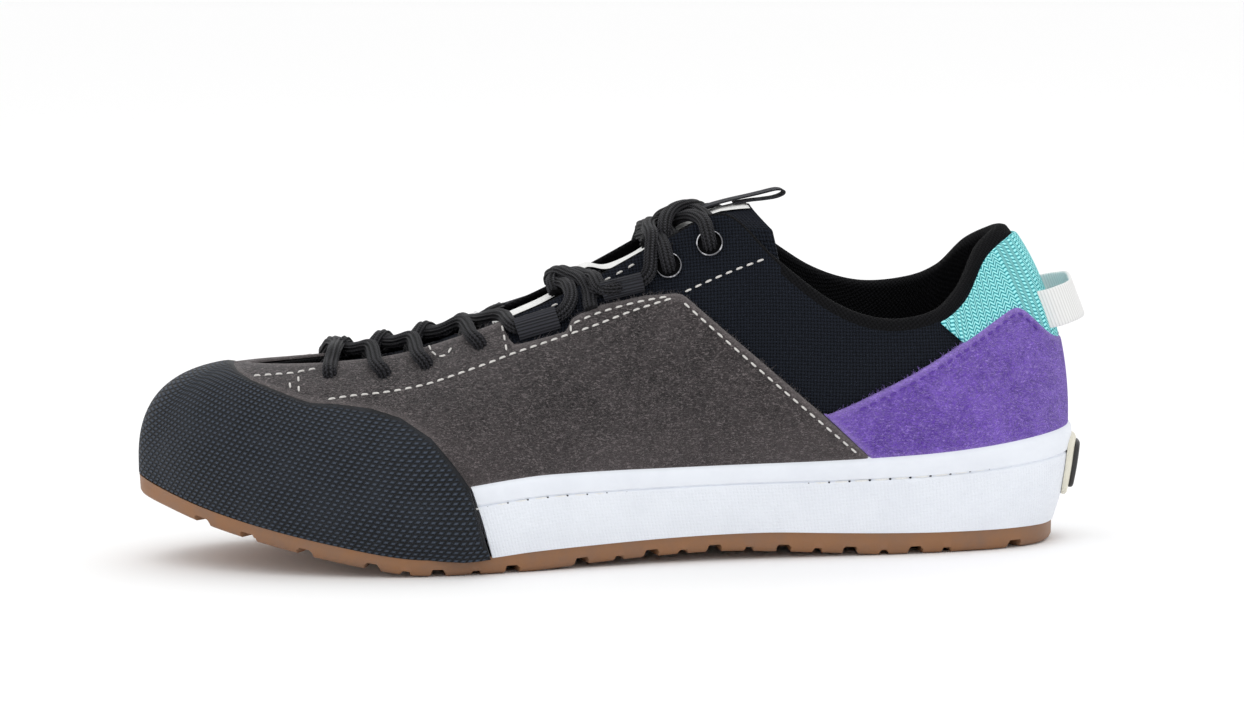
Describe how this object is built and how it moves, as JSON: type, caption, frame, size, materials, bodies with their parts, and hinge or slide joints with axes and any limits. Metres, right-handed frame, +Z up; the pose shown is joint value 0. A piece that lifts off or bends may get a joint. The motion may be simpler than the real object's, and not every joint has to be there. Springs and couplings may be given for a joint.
{
  "type": "approach shoe",
  "caption": "Low approach shoe for the left foot with a rubber toe cap, grey suede sides, purple heel, white sole wall and gum outsole.",
  "frame": {"origin": "the middle of the heel tread, on the ground", "axes": "+X along the shoe towards the back of the heel, the toe at -X; +Y towards the inner side of the foot; +Z up"},
  "size_m": [0.3008, 0.1002, 0.1156],
  "materials": {
    "gum_rubber": "matt gum rubber",
    "white_rubber": "matt white rubber",
    "toe_rubber": "matt blue-black rubber with small pips",
    "black_canvas": "plain woven canvas",
    "grey_suede": "napped suede",
    "purple_suede": "napped suede",
    "teal_mesh": "basket-woven mesh",
    "black_lace": "braided cord",
    "white_webbing": "ribbed webbing",
    "black_webbing": "ribbed webbing",
    "dark_insole": "dark foam with a fabric face",
    "black_eyelet": "glossy black enamel",
    "cream_badge": "matt cream rubber",
    "dark_plate": "matt dark rubber"
  },
  "bodies": {
    "root": {"outsole": "gum_rubber", "midsole_cup": "white_rubber", "toe_cap": "toe_rubber", "upper": "black_canvas", "tongue": "black_canvas", "insole": "dark_insole", "side_panel_outer": "grey_suede", "side_panel_inner": "grey_suede", "heel_counter": "purple_suede", "heel_mesh_panel": "teal_mesh", "heel_pull_loop": "white_webbing", "heel_badge": "cream_badge", "heel_badge_plate": "dark_plate", "tongue_ribbon": "white_webbing", "tongue_pull_loop": "black_webbing", "webbing_outer_1": "black_webbing", "webbing_outer_2": "black_webbing", "webbing_inner_1": "black_webbing", "webbing_inner_2": "black_webbing", "eyelet_outer_1": "black_eyelet", "eyelet_outer_2": "black_eyelet", "eyelet_inner_1": "black_eyelet", "eyelet_inner_2": "black_eyelet", "lace_bar": "black_lace", "lace_cross_1": "black_lace", "lace_cross_2": "black_lace", "lace_cross_3": "black_lace", "lace_cross_4": "black_lace", "lace_cross_5": "black_lace", "lace_cross_6": "black_lace", "lace_cross_7": "black_lace"}
  },
  "joints": []
}
